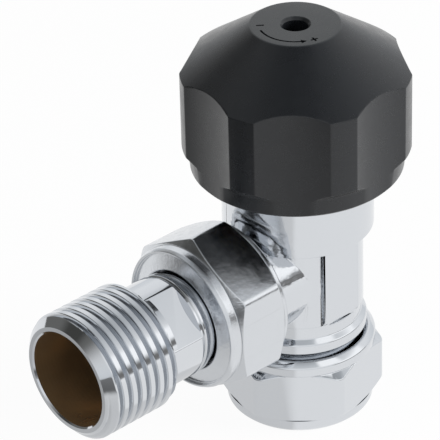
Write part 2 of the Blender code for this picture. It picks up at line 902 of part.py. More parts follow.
def makeHandwheel():
    ledge = wheelBottom + WHEEL_RIM_HEIGHT
    rim = wheelRadius - WHEEL_RIM_INSET
    wheel = turned(
        "handwheel",
        [
            (0, wheelTop),
            (WHEEL_CROWN / 2, wheelTop),
            (wheelRadius, wheelShoulder),
            (wheelRadius, ledge + WHEEL_RIM_CHAMFER),
            (rim, ledge),
            (rim - WHEEL_RIM_TAPER, wheelBottom + EDGE),
            (rim - WHEEL_RIM_TAPER - EDGE, wheelBottom),
            (0, wheelBottom),
        ],
        valveAxis,
        blackPlastic,
        3 * FINE_SIDES,
    )
    scoops = []
    for i in range(WHEEL_SCOOP_COUNT):
        name = "grip_face_cutter_" + str(i + 1)
        scoop = solidBar(
            name, 90, 2 * WHEEL_SCOOP, wheelBottom - OVERSHOOT, wheelTop + OVERSHOOT, valveAxis, 0
        )
        direction = WHEEL_TURN + i * 2 * math.pi / WHEEL_SCOOP_COUNT
        reach = wheelWaist + WHEEL_SCOOP
        scoop.location = (reach * math.cos(direction), reach * math.sin(direction), 0)
        scoops.append(scoop)
    boss = WHEEL_BOSS / 2
    roof = wheelTop - WHEEL_WALL
    hollow = turned(
        "handwheel_hollow_cutter",
        [
            (boss, roof),
            (WHEEL_CROWN / 2 - EDGE, roof),
            (wheelInner, wheelShoulder - WHEEL_WALL / 2),
            (wheelInner, wheelBottom - OVERSHOOT),
            (boss, wheelBottom - OVERSHOOT),
        ],
        valveAxis,
    )
    bossEnd = turned(
        "handwheel_boss_cutter",
        [
            (0, squareBottom + EDGE),
            (boss + OVERSHOOT, squareBottom + EDGE),
            (boss + OVERSHOOT, wheelBottom - 2 * OVERSHOOT),
            (0, wheelBottom - 2 * OVERSHOOT),
        ],
        valveAxis,
    )
    socket = solidBar(
        "handwheel_socket_cutter",
        4,
        SPINDLE_SQUARE + 2 * CLEARANCE,
        squareBottom - OVERSHOOT,
        webBottom,
        valveAxis,
        WHEEL_TURN + math.pi / 4,
    )
    holeRadius = WHEEL_SCREW_HOLE / 2
    screwHole = turned(
        "handwheel_screw_hole_cutter",
        [
            (0, wheelTop + OVERSHOOT),
            (holeRadius + EDGE + OVERSHOOT, wheelTop + OVERSHOOT),
            (holeRadius, wheelTop - EDGE),
            (holeRadius, webTop),
            (WHEEL_SCREW / 2 + CLEARANCE, webTop),
            (WHEEL_SCREW / 2 + CLEARANCE, webBottom - OVERSHOOT),
            (0, webBottom - OVERSHOOT),
        ],
        valveAxis,
        sides=FINE_SIDES,
    )
    cut(wheel, *scoops, hollow, bossEnd, socket, screwHole)
    headBottom = webTop + CLEARANCE
    headTop = headBottom + WHEEL_SCREW_HEAD_HEIGHT
    screw = turned(
        "handwheel_screw",
        [
            (0, headTop),
            (WHEEL_SCREW_HEAD / 2 - EDGE / 2, headTop),
            (WHEEL_SCREW_HEAD / 2, headTop - EDGE / 2),
            (WHEEL_SCREW_HEAD / 2, headBottom),
            (WHEEL_SCREW / 2, headBottom),
            (WHEEL_SCREW / 2, webTop - WHEEL_SCREW_LENGTH),
            (0, webTop - WHEEL_SCREW_LENGTH),
        ],
        valveAxis,
        springSteel,
        FINE_SIDES,
    )
    slot = box(
        "handwheel_screw_slot_cutter",
        (-WHEEL_SCREW_HEAD, -EDGE / 2, headTop - 2 * EDGE),
        (WHEEL_SCREW_HEAD, EDGE / 2, headTop + OVERSHOOT),
        valveAxis,
    )
    cut(screw, slot)


def smoothPieces():
    # Each piece's modifiers are applied, so that its round faces can be shaded smooth up to its edges.
    graph = bpy.context.evaluated_depsgraph_get()
    made = {piece: bpy.data.meshes.new_from_object(piece.evaluated_get(graph)) for piece in parts.objects if piece.data}
    for piece, mesh in made.items():
        piece.modifiers.clear()
        piece.data = mesh
        mesh.shade_smooth()
        mesh.set_sharp_from_angle(angle=math.radians(30))
    for cutter in list(cutters.objects):
        bpy.data.objects.remove(cutter, do_unlink=True)


clearScene()
parts = newCollection("angle_radiator_valve")
cutters = newCollection("cutters")
valveAxis = newEmpty("valve_axis", (0, 0, 0))
tailAxis = newEmpty("tail_axis", (0, 0, branchZ), (0, -math.pi / 2, 0))

chrome = newMaterial("chrome_plate", (0.72, 0.73, 0.75), 1.0, 0.12)
brass = newMaterial("brass", (0.62, 0.45, 0.20), 1.0, 0.30)
springSteel = newMaterial("spring_steel", (0.42, 0.42, 0.43), 1.0, 0.35)
rubber = newMaterial("black_rubber", (0.02, 0.02, 0.02), 0.0, 0.75)
fibre = newMaterial("red_fibre", (0.36, 0.09, 0.05), 0.0, 0.85)
plastic = newMaterial("white_plastic", (0.80, 0.80, 0.78), 0.0, 0.40)
blackPlastic = newMaterial("black_plastic", (0.018, 0.018, 0.019), 0.0, 0.38)

makeBody()
makeCompressionNut()
makeOlive()
makeUnionNut()
makeTailPiece()
makeBonnet()
makeGland()
makeSpindle()
makePlug()
makeHandwheel()
smoothPieces()
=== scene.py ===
# Angle radiator valve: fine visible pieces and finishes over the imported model.
# Sizes are in millimetres. The valve stands on its lower nut, up is +Z, and the tail points to -X.
import math

import bmesh
import bpy
from mathutils import Matrix, Vector


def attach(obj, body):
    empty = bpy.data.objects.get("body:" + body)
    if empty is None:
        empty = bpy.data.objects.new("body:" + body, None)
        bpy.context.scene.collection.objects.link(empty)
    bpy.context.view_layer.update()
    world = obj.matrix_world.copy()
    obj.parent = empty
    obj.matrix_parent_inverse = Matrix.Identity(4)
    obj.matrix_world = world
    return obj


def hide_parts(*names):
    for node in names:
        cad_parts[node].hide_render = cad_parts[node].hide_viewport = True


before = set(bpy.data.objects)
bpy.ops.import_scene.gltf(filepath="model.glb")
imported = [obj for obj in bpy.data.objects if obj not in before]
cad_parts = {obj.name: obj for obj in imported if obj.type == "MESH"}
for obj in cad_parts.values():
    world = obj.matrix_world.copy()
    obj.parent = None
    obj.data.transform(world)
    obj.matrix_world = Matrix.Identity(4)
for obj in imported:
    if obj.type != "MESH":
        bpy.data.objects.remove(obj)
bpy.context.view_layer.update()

mm = 0.001
branchHeight = 26.6  # the tail's axis above the floor


# Modelling helpers

def pickOnly(obj):
    bpy.ops.object.select_all(action="DESELECT")
    obj.select_set(True)
    bpy.context.view_layer.objects.active = obj


def swing(start, end, share):
    # Part of the way round from one arm to the other; slerp alone gives a length of one.
    return start.slerp(end, share).normalized() * start.length


def softCorners(points, steps=4):
    # (radius, height) points of a profile; a third value rounds that corner with a short arc.
    made = []
    for i, point in enumerate(points):
        if len(point) < 3 or i in (0, len(points) - 1):
            made.append(Vector(point[:2]))
            continue
        corner = Vector(point[:2])
        before = Vector(points[i - 1][:2]) - corner
        after = Vector(points[i + 1][:2]) - corner
        half = before.angle(after) / 2
        reach = min(point[2] / math.tan(half), 0.48 * before.length, 0.48 * after.length)
        centre = corner + (before.normalized() + after.normalized()).normalized() * (reach / math.cos(half))
        start = corner + before.normalized() * reach - centre
        end = corner + after.normalized() * reach - centre
        for k in range(steps + 1):
            made.append(centre + swing(start, end, k / steps))
    return made


def spinProfile(name, points, sides=144):
    # A point is drawn out along the profile and spun about the upright axis.
    bpy.ops.object.select_all(action="DESELECT")
    bpy.ops.mesh.primitive_plane_add(size=mm)
    piece = bpy.context.object
    piece.name = piece.data.name = name
    path = points if isinstance(points[0], Vector) else softCorners(points)
    bpy.ops.object.mode_set(mode="EDIT")
    bpy.ops.mesh.select_mode(type="VERT")
    bpy.ops.mesh.select_all(action="SELECT")
    bpy.ops.mesh.merge(type="CENTER")
    bpy.ops.transform.translate(value=(path[0][0] * mm, 0, path[0][1] * mm))
    for here, there in zip(path, path[1:]):
        step = (there - here) * mm
        bpy.ops.mesh.extrude_region_move(TRANSFORM_OT_translate={"value": (step[0], 0, step[1])})
    bpy.ops.mesh.select_all(action="SELECT")
    bpy.ops.mesh.spin(steps=sides, angle=2 * math.pi, center=(0, 0, 0), axis=(0, 0, 1))
    bpy.ops.mesh.select_all(action="SELECT")
    bpy.ops.mesh.remove_doubles(threshold=0.001 * mm)
    bpy.ops.mesh.normals_make_consistent(inside=False)
    bpy.ops.object.mode_set(mode="OBJECT")
    return piece


def addPrism(name, sides, flats, bottom, top, corner, edge=0):
    # An upright bar; corner is the direction of its first corner, and edge rounds the long edges.
    bpy.ops.object.select_all(action="DESELECT")
    bpy.ops.mesh.primitive_cylinder_add(
        vertices=sides,
        radius=flats / 2 / math.cos(math.pi / sides) * mm,
        depth=(top - bottom) * mm,
        location=(0, 0, (bottom + top) / 2 * mm),
        rotation=(0, 0, math.radians(corner - 90)),
    )
    piece = bpy.context.object
    piece.name = piece.data.name = name
    bpy.ops.object.transform_apply(location=True, rotation=True, scale=True)
    if edge:
        bpy.ops.object.mode_set(mode="EDIT")
        bpy.ops.mesh.select_mode(type="EDGE")
        bpy.ops.mesh.select_all(action="DESELECT")
        shape = bmesh.from_edit_mesh(piece.data)
        for side in shape.edges:
            side.select = abs((side.verts[0].co - side.verts[1].co).z) > 0.5 * mm
        bmesh.update_edit_mesh(piece.data)
        bpy.ops.mesh.bevel(offset=edge * mm, segments=6, affect="EDGES")
        bpy.ops.object.mode_set(mode="OBJECT")
    return piece


def addBlock(name, low, high):
    bpy.ops.object.select_all(action="DESELECT")
    middle = [(a + b) / 2 * mm for a, b in zip(low, high)]
    bpy.ops.mesh.primitive_cube_add(size=1, location=middle, scale=[(b - a) * mm for a, b in zip(low, high)])
    piece = bpy.context.object
    piece.name = piece.data.name = name
    bpy.ops.object.transform_apply(location=True, rotation=True, scale=True)
    return piece


def place(piece, move=(0, 0, 0), turn=(0, 0, 0)):
    # The move and turn go into the mesh, so the object stays at the origin.
    pickOnly(piece)
    piece.location = [value * mm for value in move]
    piece.rotation_euler = [math.radians(value) for value in turn]
    bpy.ops.object.transform_apply(location=True, rotation=True, scale=True)
    return piece


def layAlongTail(piece):
    # Upright things become things along the tail: up turns to -X, and +X turns up.
    return place(piece, (0, 0, branchHeight), (0, -90, 0))


def combine(piece, tool, how):
    pickOnly(piece)
    step = piece.modifiers.new("shape", "BOOLEAN")
    step.operation = how
    step.solver = "EXACT"
    step.object = tool
    bpy.ops.object.modifier_apply(modifier=step.name)
    bpy.data.objects.remove(tool)
    return piece


def tidyMesh(piece, distance=0.004):
    pickOnly(piece)
    bpy.ops.object.mode_set(mode="EDIT")
    bpy.ops.mesh.select_all(action="SELECT")
    bpy.ops.mesh.remove_doubles(threshold=distance * mm)
    bpy.ops.mesh.normals_make_consistent(inside=False)
    bpy.ops.object.mode_set(mode="OBJECT")


def roundEdges(piece, width, segments=3, angle=28):
    pickOnly(piece)
    edge = piece.modifiers.new("edges", "BEVEL")
    edge.width = width * mm
    edge.segments = segments
    edge.limit_method = "ANGLE"
    edge.angle_limit = math.radians(angle)
    edge.use_clamp_overlap = False
    bpy.ops.object.modifier_apply(modifier=edge.name)


def smoothFaces(piece, angle=35):
    pickOnly(piece)
    bpy.ops.object.shade_smooth_by_angle(angle=math.radians(angle))
    even = piece.modifiers.new("even", "WEIGHTED_NORMAL")
    even.keep_sharp = True
    even.weight = 60
    bpy.ops.object.modifier_apply(modifier=even.name)


def finishPiece(piece, body, slot, finish, *nodes):
    piece.data.materials.clear()
    piece.data.materials.append(finish)
    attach(piece, body)
    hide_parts(*nodes)
    return piece


# Finishes

def colour(code):
    # sRGB hex to the linear values that shaders take
    parts = [int(code[i:i + 2], 16) / 255 for i in (1, 3, 5)]
    return tuple(v / 12.92 if v <= 0.04045 else ((v + 0.055) / 1.055) ** 2.4 for v in parts) + (1,)


def addNode(tree, kind, settings=None, inputs=None):
    node = tree.nodes.new(kind)
    for name, value in (settings or {}).items():
        setattr(node, name, value)
    for name, value in (inputs or {}).items():
        if isinstance(value, bpy.types.NodeSocket):
            tree.links.new(value, node.inputs[name])
        else:
            node.inputs[name].default_value = value
    return node


def newFinish(name, base, metallic, roughness):
    made = bpy.data.materials.new(name)
    made.use_nodes = True
    shader = made.node_tree.nodes["Principled BSDF"]
    shader.inputs["Base Color"].default_value = colour(base)
    shader.inputs["Metallic"].default_value = metallic
    shader.inputs["Roughness"].default_value = roughness
    return made, made.node_tree, shader


def perMm(size):
    # Noise scale for a pattern of this size in millimetres, on coordinates in metres
    return 1 / (size * mm)


def mottled(tree, shader, coords, grain, low, high):
    # Roughness that wanders between two values over spots of the size given
    spots = addNode(tree, "ShaderNodeTexNoise", None, {"Vector": coords, "Scale": perMm(grain), "Detail": 3.0})
    spread = addNode(
        tree, "ShaderNodeMapRange", None, {"Value": spots.outputs["Fac"], "From Min": 0.3, "From Max": 0.7, "To Min": low, "To Max": high}
    )
    tree.links.new(spread.outputs["Result"], shader.inputs["Roughness"])


def bumps(tree, shader, coords, layers, level=None):
    # Each layer is (spot size in mm, height in mm, detail); heights add up into one bump, strong where level is.
    total = None
    for grain, height, detail in layers:
        noise = addNode(tree, "ShaderNodeTexNoise", None, {"Vector": coords, "Scale": perMm(grain), "Detail": detail})
        lift = addNode(
            tree, "ShaderNodeMath", {"operation": "MULTIPLY"}, {0: noise.outputs["Fac"], 1: height * mm}
        )
        if total:
            lift = addNode(tree, "ShaderNodeMath", {"operation": "ADD"}, {0: total, 1: lift.outputs[0]})
        total = lift.outputs[0]
    if level:
        total = addNode(tree, "ShaderNodeMath", {"operation": "MULTIPLY"}, {0: total, 1: level}).outputs[0]
    bump = addNode(tree, "ShaderNodeBump", None, {"Height": total, "Distance": 1.0, "Strength": 1.0})
    tree.links.new(bump.outputs["Normal"], shader.inputs["Normal"])


# Bright chrome over machined brass: a mirror, very slightly wavy from the buffing wheel.
def polishedChrome():
    made, tree, shader = newFinish("polished_chrome", "#D5D8DC", 1.0, 0.07)
    coords = addNode(tree, "ShaderNodeTexCoord").outputs["Object"]
    mottled(tree, shader, coords, 2.5, 0.05, 0.10)
    bumps(tree, shader, coords, [(3.0, 0.006, 1.0), (0.5, 0.0006, 2.0)])
    return made


# Bright chrome over a forging: buffed smooth, but by the branch the wheel can't reach the pitted die skin.
def forgedChrome():
    made, tree, shader = newFinish("forged_chrome", "#D5D8DC", 1.0, 0.08)
    coords = addNode(tree, "ShaderNodeTexCoord").outputs["Object"]
    mottled(tree, shader, coords, 1.4, 0.08, 0.15)
    away = addNode(tree, "ShaderNodeVectorMath", {"operation": "DISTANCE"}, {0: coords, 1: Vector((-11.5, 0, 29)) * mm})
    level = addNode(
        tree,
        "ShaderNodeMapRange",
        {"interpolation_type": "SMOOTHSTEP"},
        {"Value": away.outputs["Value"], "From Min": 9.5 * mm, "From Max": 13.5 * mm, "To Min": 1.0, "To Max": 0.12},
    )
    bumps(tree, shader, coords, [(2.2, 0.08, 2.0), (0.8, 0.022, 2.0)], level.outputs[0])
    return made


# The union nut is tumbled before plating: the flats come out finely pitted and blur what they mirror.
def tumbledChrome():
    made, tree, shader = newFinish("tumbled_chrome", "#D5D8DC", 1.0, 0.2)
    coords = addNode(tree, "ShaderNodeTexCoord").outputs["Object"]
    mottled(tree, shader, coords, 1.2, 0.16, 0.26)
    bumps(tree, shader, coords, [(3.5, 0.06, 1.0), (0.55, 0.022, 3.0)])
    return made


# Turned brass left bare, gone dull brown inside: fine tool rings round the bore.
def turnedBrass():
    made, tree, shader = newFinish("turned_brass", "#B29A74", 0.8, 0.35)
    coords = addNode(tree, "ShaderNodeTexCoord").outputs["Object"]
    cloud = addNode(tree, "ShaderNodeTexNoise", None, {"Vector": coords, "Scale": perMm(9.0), "Detail": 1.0})
    tone = addNode(tree, "ShaderNodeMix", {"data_type": "RGBA"}, {"Factor": cloud.outputs["Fac"]})
    tone.inputs[6].default_value = colour("#A08663")
    tone.inputs[7].default_value = colour("#CDB189")
    tree.links.new(tone.outputs[2], shader.inputs["Base Color"])
    rings = addNode(
        tree,
        "ShaderNodeTexWave",
        {"bands_direction": "X"},
        {"Vector": coords, "Scale": perMm(0.35) / 6.28, "Distortion": 0.6, "Detail": 1.0},
    )
    lift = addNode(tree, "ShaderNodeMath", {"operation": "MULTIPLY"}, {0: rings.outputs["Fac"], 1: 0.003 * mm})
    bump = addNode(tree, "ShaderNodeBump", None, {"Height": lift.outputs[0], "Distance": 1.0})
    tree.links.new(bump.outputs["Normal"], shader.inputs["Normal"])
    mottled(tree, shader, coords, 4.0, 0.26, 0.4)
    return made


# Machined brass parts out of sight: cleaner and more yellow.
def machinedBrass():
    made, tree, shader = newFinish("machined_brass", "#C9A45C", 1.0, 0.25)
    coords = addNode(tree, "ShaderNodeTexCoord").outputs["Object"]
    mottled(tree, shader, coords, 1.2, 0.20, 0.34)
    bumps(tree, shader, coords, [(0.4, 0.001, 2.0)])
    return made


# Moulded ABS with a fine spark-eroded mould skin: black, with a soft satin shine. The flat crown on top is
# painted paler: a painted sheen of the light from above.
def mouldedAbs():
    made, tree, shader = newFinish("moulded_abs", "#191B1E", 0.0, 0.3)
    shader.inputs["Specular IOR Level"].default_value = 0.48
    coords = addNode(tree, "ShaderNodeTexCoord").outputs["Object"]
    height = addNode(tree, "ShaderNodeSeparateXYZ", None, {0: coords}).outputs["Z"]
    # Painted sheen: the flat crown on top gets a paler colour than the rest of the moulding.
    crownSheenMask = addNode(
        tree,
        "ShaderNodeMapRange",
        None,
        {"Value": height, "From Min": 69.45 * mm, "From Max": 69.56 * mm, "To Min": 0.0, "To Max": 1.0},
    )
    tone = addNode(tree, "ShaderNodeMix", {"data_type": "RGBA"}, {"Factor": crownSheenMask.outputs[0]})
    tone.inputs[6].default_value = colour("#191B1E")
    tone.inputs[7].default_value = colour("#2C2F31")
    tree.links.new(tone.outputs[2], shader.inputs["Base Color"])
    mottled(tree, shader, coords, 2.0, 0.25, 0.32)
    bumps(tree, shader, coords, [(0.16, 0.0035, 2.0)])
    return made


def plainFinish(name, base, metallic, low, high, grain, height):
    made, tree, shader = newFinish(name, base, metallic, low)
    coords = addNode(tree, "ShaderNodeTexCoord").outputs["Object"]
    mottled(tree, shader, coords, grain * 4, low, high)
    bumps(tree, shader, coords, [(grain, height, 3.0)])
    return made


finishes = {
    "polishedChrome": polishedChrome(),
    "forgedChrome": forgedChrome(),
    "tumbledChrome": tumbledChrome(),
    "turnedBrass": turnedBrass(),
    "machinedBrass": machinedBrass(),
    "mouldedAbs": mouldedAbs(),
    "springSteel": plainFinish("spring_steel_wire", "#A4A5A8", 1.0, 0.25, 0.38, 0.3, 0.001),
    "nitrileRubber": plainFinish("nitrile_rubber", "#1C1C1D", 0.0, 0.55, 0.72, 0.2, 0.003),
    "redFibre": plainFinish("pressed_red_fibre", "#8C3A2A", 0.0, 0.75, 0.92, 0.25, 0.008),
    "whitePlastic": plainFinish("white_acetal", "#E4E3DE", 0.0, 0.32, 0.45, 0.3, 0.001),
}
print("finishes made")


# Handwheel: one black moulding

handwheel = {
    "crownHeight": 69.6,
    "crownRadius": 7.16,
    "shoulderHeight": 61.7,
    "radius": 18.34,
    "ledgeHeight": 47.8,
    "rimRadius": 17.3,
    "rimBottom": 44.6,
    "gripFaces": 7,
    "gripRadius": 29.0,  # each grip face is hollow, with this radius
    "gripDepth": 1.585,
    "gripTurn": 223.9,  # direction of the middle of one grip face, in degrees
    "gripEdge": 0.08,  # how soft the edges round each grip face are
    "wall": 1.8,
    "bossRadius": 5.0,
    "socketBottom": 54.5,
    "socketTop": 60.4,
    "webTop": 61.9,
    "holeRadius": 2.0,
    "markDepth": 0.3,
    "markRadius": 5.75,  # of the curved arrow on the crown
    "markWidth": 0.34,
    "arrowEnds": (156, 236),  # directions of its tail and its head, in degrees
    "minusAt": (5.5, 140),  # radius and direction
    "plusAt": (5.8, 256),
}


def curvedBar(name, radius, width, bottom, top, start, turn):
    # A small upright face swept round an arc, clockwise from its start
    bpy.ops.object.select_all(action="DESELECT")
    bpy.ops.mesh.primitive_plane_add(size=1)
    bar = bpy.context.object
    bar.name = name
    bar.scale = (width * mm, (top - bottom) * mm, 1)
    bar.rotation_euler = (math.pi / 2, 0, 0)
    bar.location = (radius * mm, 0, (bottom + top) / 2 * mm)
    bpy.ops.object.transform_apply(location=True, rotation=True, scale=True)
    bpy.ops.object.mode_set(mode="EDIT")
    bpy.ops.mesh.select_all(action="SELECT")
    bpy.ops.mesh.spin(steps=30, angle=math.radians(turn), center=(0, 0, 0), axis=(0, 0, 1))
    bpy.ops.mesh.select_all(action="SELECT")
    bpy.ops.mesh.normals_make_consistent(inside=False)
    bpy.ops.object.mode_set(mode="OBJECT")
    return place(bar, turn=(0, 0, start))


def splitSteps(path, fineFrom, fine):
    # Sloping runs outside this radius get close rows, so that the grip faces' edges come out clean.
    made = [path[0]]
    for here, there in zip(path, path[1:]):
        sloping = min(here.x, there.x) > fineFrom and abs(here.x - there.x) > 0.1 * abs(here.y - there.y)
        parts = max(1, round((there - here).length / (fine if sloping else 3)))
        made += [here.lerp(there, k / parts) for k in range(1, parts + 1)]
    return made


def gripColumns(s):
    # Directions of the columns over one grip face, close together at both ridges that it makes
    half = 180 / s["gripFaces"]
    reach = s["radius"] - s["gripDepth"] + s["gripRadius"]
    ridges = []
    for radius in (s["rimRadius"], s["radius"]):
        share = (radius ** 2 + reach ** 2 - s["gripRadius"] ** 2) / (2 * radius * reach)
        ridges.append(math.degrees(math.acos(share)))
    stops = [
        (0, 8), (ridges[0] - 1.0, 6), (ridges[0] + 1.0, 5), (ridges[1] - 1.0, 12), (ridges[1] + 1.0, 5), (half, 0)
    ]
    side = []
    for (here, parts), (there, _) in zip(stops, stops[1:]):
        side += [here + (there - here) * k / parts for k in range(parts)]
    return [-v for v in reversed(side[1:])] + side + [half]


def drawInGrips(wheel, s):
    # Every point outside a grip face is drawn in to it, with a soft edge where the two forms meet.
    columns = gripColumns(s)
    reach = s["radius"] - s["gripDepth"] + s["gripRadius"]
    soft = s["gripEdge"]
    share = 360 / s["gripFaces"] / len(columns)
    for point in wheel.data.vertices:
        radius = math.hypot(point.co.x, point.co.y) / mm
        if radius < 0.01:
            continue
        column = round(math.degrees(math.atan2(point.co.y, point.co.x)) / share) % (len(columns) * s["gripFaces"])
        face, place = divmod(column, len(columns))
        turn = math.radians(columns[place])
        hollow = reach * math.cos(turn) - math.sqrt(s["gripRadius"] ** 2 - (reach * math.sin(turn)) ** 2)
        blend = max(0, soft - abs(radius - hollow)) / soft
        radius = min(radius, hollow) - blend * blend * soft / 4
        angle = turn + math.radians(s["gripTurn"] + 360 * face / s["gripFaces"])
        point.co.x, point.co.y = radius * math.cos(angle) * mm, radius * math.sin(angle) * mm


def makeHandwheel(s):
    top, bottom = s["crownHeight"], s["rimBottom"]
    inner = s["radius"] - s["gripDepth"] - s["wall"]
    roof = top - s["wall"]
    fineFrom = s["radius"] - s["gripDepth"] - 0.2
    coneDrop = (top - s["shoulderHeight"]) / (s["radius"] - s["crownRadius"])
    profile = [
        (0, top),
        (s["crownRadius"], top, 0.5),
        (fineFrom, top - coneDrop * (fineFrom - s["crownRadius"])),
        (s["radius"], s["shoulderHeight"], 0.22),
        (s["radius"], s["ledgeHeight"] + 1.0, 0.1),
        (s["rimRadius"] + 0.05, s["ledgeHeight"] + 0.05, 0.12),
        (s["rimRadius"], s["ledgeHeight"] - 0.25, 0.1),
        (s["rimRadius"] - 0.2, bottom + 0.4, 0.3),
        (s["rimRadius"] - 0.6, bottom, 0.3),
        (inner + 0.35, bottom, 0.15),
        (inner, bottom + 0.35, 0.15),
        (inner, s["shoulderHeight"] - 0.9, 0.5),
        (s["crownRadius"] - 0.4, roof, 0.5),
        (s["bossRadius"], roof, 0.4),
        (s["bossRadius"], s["socketBottom"] + 0.4, 0.15),
        (0, s["socketBottom"] + 0.4),
    ]
    path = splitSteps(softCorners(profile), fineFrom - 0.01, 0.055)
    wheel = spinProfile("handwheelMoulding", path, len(gripColumns(s)) * s["gripFaces"])
    drawInGrips(wheel, s)
    socket = addPrism("socketCutter", 4, 5.4, s["socketBottom"] - 1, s["socketTop"], s["gripTurn"] + 45)
    cutter = spinProfile(
        "holeCutter",
        [
            (0, top + 1),
            (s["holeRadius"] + 1.5, top + 1),
            (s["holeRadius"], top - 0.45, 0.1),
            (s["holeRadius"], s["webTop"]),
            (1.4, s["webTop"]),
            (1.4, s["socketTop"] - 0.5),
            (0, s["socketTop"] - 0.5),
        ],
        72,
    )
    # A sunk arrow on the crown runs from minus to plus, the way that opens the valve.
    low, high = top - s["markDepth"], top + 1
    half, (first, last) = s["markWidth"] / 2, s["arrowEnds"]
    marks = [socket, curvedBar("arrowBar", s["markRadius"], s["markWidth"], low, high, last, last - first)]
    head = addPrism("arrowHead", 3, 0.62, low, high, 90)
    marks.append(place(place(head, (s["markRadius"], 0, 0)), turn=(0, 0, last + 2)))
    radius, turn = s["minusAt"]
    minus = addBlock("minusMark", (radius - 0.62, -half, low), (radius + 0.62, half, high))
    marks.append(place(minus, turn=(0, 0, turn)))
    radius, turn = s["plusAt"]
    for name, along, across in (("plusAlong", 0.62, half), ("plusAcross", half, 0.62)):
        bar = addBlock(name, (radius - along, -across, low), (radius + along, across, high))
        marks.append(place(bar, turn=(0, 0, turn)))
    for mark in marks:
        combine(cutter, mark, "UNION")
    combine(wheel, cutter, "DIFFERENCE")
    smoothFaces(wheel)
    return finishPiece(wheel, "wheel", "black_plastic", finishes["mouldedAbs"], "handwheel")


makeHandwheel(handwheel)
print("handwheel made")


# Hexagon nuts: a bar with its corners turned off, and turned collars

compressionNut = {
    "flats": 24.1,
    "height": 13.7,
    "firstCorner": 255.1,
    "cornerRound": 1.1,
    "collarRadius": 12.45,
    "lowerCollarRadius": 12.05,
    "collarHeight": 2.4,
    "threadRadius": 10.4,
    "lip": 2.3,
    "boreRadius": 7.65,
    "edge": 0.18,
}

unionNut = {
    "flats": 24.0,
    "back": 13.6,
    "front": 26.2,
    "ridgeBack": 15.9,
    "ridgeFront": 22.8,
    "cornerRound": 0.85,
    "flatCrown": 0.3,  # how far the middle of a flat stands out
    "collarRadius": 11.95,
    "frontCollar": 2.2,
    "backCollar": 1.1,
    "ringWidth": 0.75,
    "frontCone": 0.8,  # how far the front face falls back from the mouth to the ring
    "mouthRadius": 8.45,
    "lip": 1.7,
    "threadRadius": 10.5,
    "edge": 0.15,
}


def makeCompressionNut(s):
    half = s["flats"] / 2
    corner = half / math.cos(math.pi / 6)
    low, high = s["collarHeight"], s["height"] - s["collarHeight"]
    nut = addPrism("compressionHexNut", 6, s["flats"], low - 0.4, high + 0.4, s["firstCorner"], s["cornerRound"])
    slope = 0.62
    turning = spinProfile(
        "nutTurning",
        [
            (0, high + 2),
            (half - 0.2, high + 2),
            (half - 0.2, high + 0.2),
            (corner + 0.4, high - slope * (corner - half + 0.4)),
            (corner + 0.4, low + slope * (corner - half + 0.4)),
            (half - 0.2, low - 0.2),
            (half - 0.2, low - 2),
            (0, low - 2),
        ],
        180,
    )
    combine(nut, turning, "INTERSECT")
    wide, narrow = s["collarRadius"], s["lowerCollarRadius"]
    collars = spinProfile(
        "nutCollars",
        [
            (0, s["height"]),
            (wide - 0.9, s["height"], 0.3),
            (wide, s["height"] - 0.9, 0.7),
            (wide, high + 0.1, 0.15),
            (half - 0.5, high - 0.5),
            (half - 0.5, low + 0.5),
            (narrow, low - 0.1, 0.3),
            (narrow, 0.8, 0.8),
            (narrow - 0.8, 0, 0.5),
            (0, 0),
        ],
        180,
    )
    combine(nut, collars, "UNION")
    inside = spinProfile(
        "nutBore",
        [
            (0, s["height"] + 1),
            (s["threadRadius"] + 1.6, s["height"] + 1),
            (s["threadRadius"], s["height"] - 0.8),
            (s["threadRadius"], 4.1),
            (9.05, 4.1),
            (8.35, s["lip"]),
            (s["boreRadius"], s["lip"]),
            (s["boreRadius"], 0.4),
            (s["boreRadius"] + 1.4, -1),
            (0, -1),
        ],
        120,
    )
    combine(nut, inside, "DIFFERENCE")
    tidyMesh(nut)
    roundEdges(nut, s["edge"])
    smoothFaces(nut)
    return finishPiece(nut, "compression_nut", "chrome_plate", finishes["polishedChrome"], "compression_nut")


def crownFlats(nut, s):
    # Each flat is cut into strips, and their edges are moved out towards its middle.
    half, reach = s["flats"] / 2, s["flats"] / 2 * math.tan(math.pi / 6) - s["cornerRound"]
    pickOnly(nut)
    bpy.ops.object.mode_set(mode="EDIT")
    bpy.ops.mesh.select_mode(type="EDGE")
    bpy.ops.mesh.select_all(action="DESELECT")
    shape = bmesh.from_edit_mesh(nut.data)
    for side in shape.edges:
        side.select = side.calc_length() > 5 * mm and abs((side.verts[0].co - side.verts[1].co).z) < 0.1 * mm
    bmesh.update_edit_mesh(nut.data)
    bpy.ops.mesh.subdivide(number_cuts=11)
    shape = bmesh.from_edit_mesh(nut.data)
    for point in shape.verts:
        turn = round(math.atan2(point.co.y, point.co.x) / (math.pi / 3) - 0.5) + 0.5
        out = Vector((math.cos(turn * math.pi / 3), math.sin(turn * math.pi / 3), 0))
        along = abs(point.co.cross(out).z) / mm
        if abs(point.co.dot(out) - half * mm) < 0.01 * mm and along < reach - 0.05:
            point.co += out * s["flatCrown"] * (1 - (along / reach) ** 2) * mm
    bmesh.update_edit_mesh(nut.data)
    bpy.ops.object.mode_set(mode="OBJECT")


